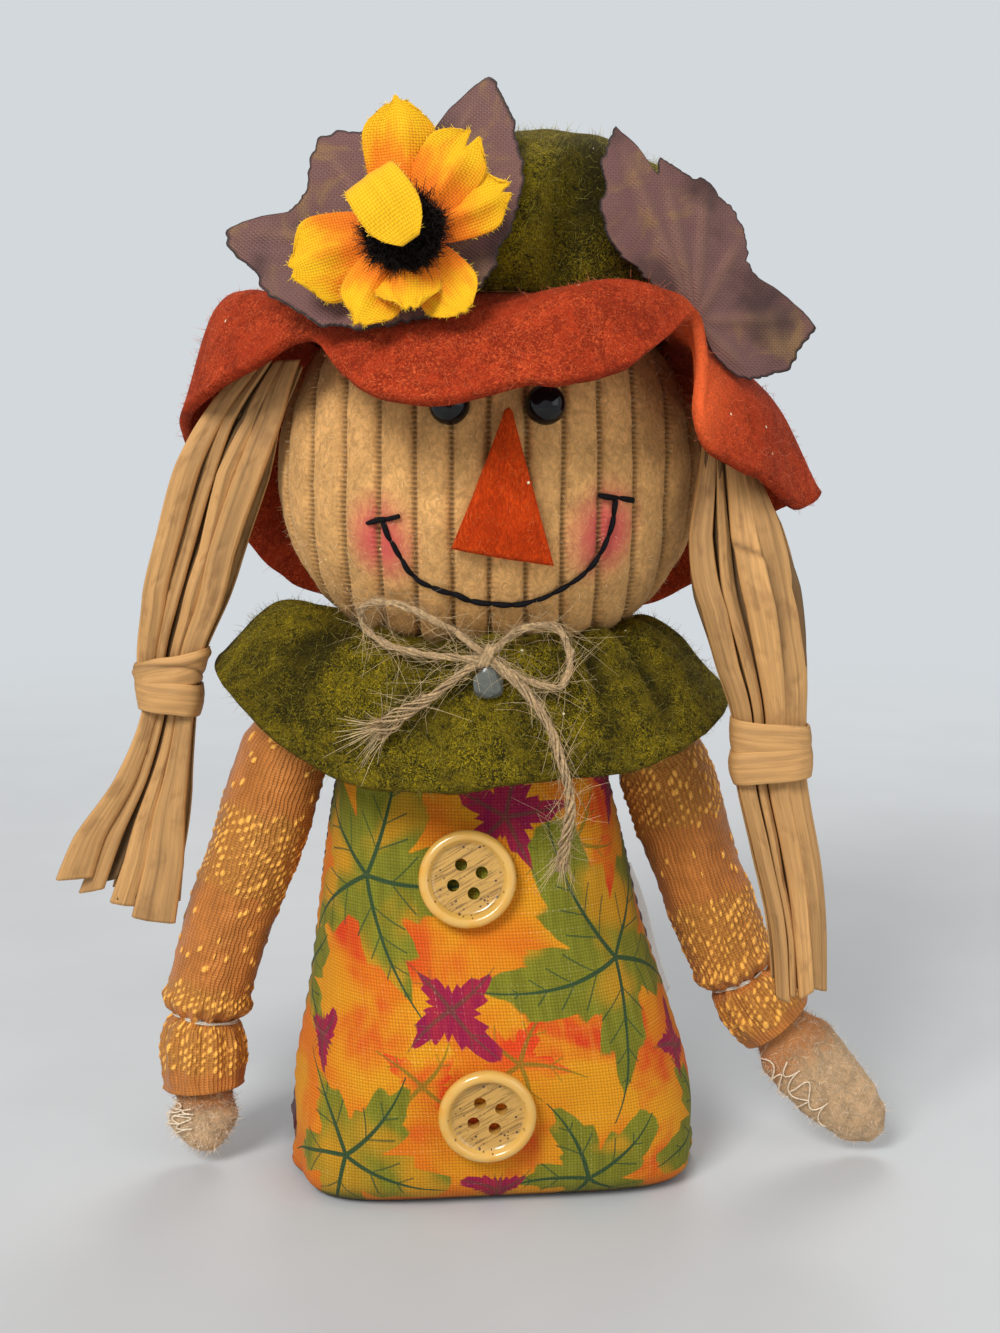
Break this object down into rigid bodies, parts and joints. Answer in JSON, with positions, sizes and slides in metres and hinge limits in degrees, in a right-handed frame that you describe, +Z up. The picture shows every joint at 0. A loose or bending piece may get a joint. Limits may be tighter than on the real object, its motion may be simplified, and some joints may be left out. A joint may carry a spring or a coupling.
{
  "type": "scarecrow shelf sitter doll",
  "caption": "Stuffed scarecrow doll that sits on a shelf: weighted cloth body, ball head, felt hat with a flower, knit arms that swing and raffia pigtails.",
  "frame": {"origin": "middle of the flat base of the body, on the surface that the doll sits on", "axes": "+Z up, the face looks along -Y, +X is to the right of someone who looks at the face"},
  "size_m": [0.1135, 0.0751, 0.1423],
  "materials": {
    "printed_cotton": "plain-weave cotton with a printed pattern of autumn leaves, matt",
    "maroon_cotton": "plain-weave cotton, dark maroon, matt",
    "pellets": "small translucent plastic pellets",
    "fibre": "white polyester fibre",
    "label_tape": "blank white woven tape",
    "button": "pale yellow plastic with wood grain and a gloss rim",
    "corduroy": "tan corduroy with wide wales and fine glitter",
    "bead": "black bead, high gloss",
    "orange_felt": "orange-red felt, matt",
    "black_thread": "black sewing thread",
    "olive_felt": "olive green felt with black and yellow fibres, matt",
    "rust_felt": "rust-orange felt, matt, with fine glitter",
    "leaf_cloth": "mauve-brown satin cloth, stiffened",
    "green_plastic": "green plastic, satin",
    "petal_cloth": "yellow cloth shading to orange, stiffened",
    "black_pile": "black fuzzy pile",
    "twine": "natural jute twine, hairy",
    "hot_glue": "clear grey hot glue, glossy",
    "white_thread": "white thread, fuzzy",
    "knit": "copper-brown knit with gold nubbly bands",
    "hand_cloth": "tan brushed cloth with white fibres",
    "raffia": "kraft-brown paper raffia, creased lengthwise, faint sheen"
  },
  "bodies": {
    "root": {"front_panel": "printed_cotton", "back_panel": "maroon_cotton", "base_panel": "maroon_cotton", "pellet_filling": "pellets", "body_filling": "fibre", "side_label": "label_tape", "button_upper": "button", "button_lower": "button", "head_cover": "corduroy", "head_filling": "fibre", "eye_left": "bead", "eye_right": "bead", "nose": "orange_felt", "mouth_thread": "black_thread", "hat_crown": "olive_felt", "hat_filling": "fibre", "hat_brim": "rust_felt", "leaf_left": "leaf_cloth", "leaf_right": "leaf_cloth", "flower_calyx": "green_plastic", "petals_back": "petal_cloth", "petals_front": "petal_cloth", "flower_centre": "black_pile", "collar": "olive_felt", "twine_bow": "twine", "glue_blob": "hot_glue", "shoulder_shank_left": "white_thread", "shoulder_shank_right": "white_thread"},
    "arm_left": {"sleeve_left": "knit", "arm_filling_left": "fibre", "wrist_thread_left": "white_thread", "hand_left": "hand_cloth"},
    "arm_right": {"sleeve_right": "knit", "arm_filling_right": "fibre", "wrist_thread_right": "white_thread", "hand_right": "hand_cloth"},
    "pigtail_left": {"raffia_left_1": "raffia", "raffia_left_2": "raffia", "raffia_left_3": "raffia", "raffia_left_4": "raffia", "raffia_tie_left": "raffia"},
    "pigtail_right": {"raffia_right_1": "raffia", "raffia_right_2": "raffia", "raffia_right_3": "raffia", "raffia_right_4": "raffia", "raffia_tie_right": "raffia"}
  },
  "joints": [
    {"name": "shoulder_left", "type": "hinge", "parent": "root", "child": "arm_left", "pos_m": [-0.0217, -0.0046, 0.061], "axis": [-1, 0, 0], "range_deg": [-30, 25]},
    {"name": "shoulder_right", "type": "hinge", "parent": "root", "child": "arm_right", "pos_m": [0.0181, -0.0031, 0.061], "axis": [-1, 0, 0], "range_deg": [-30, 8]},
    {"name": "pigtail_left_swing", "type": "hinge", "parent": "root", "child": "pigtail_left", "pos_m": [-0.0285, -0.0077, 0.108], "axis": [-1, 0, 0], "range_deg": [-12, 12]},
    {"name": "pigtail_right_swing", "type": "hinge", "parent": "root", "child": "pigtail_right", "pos_m": [0.0288, -0.0157, 0.106], "axis": [-1, 0, 0], "range_deg": [0, 9]}
  ]
}
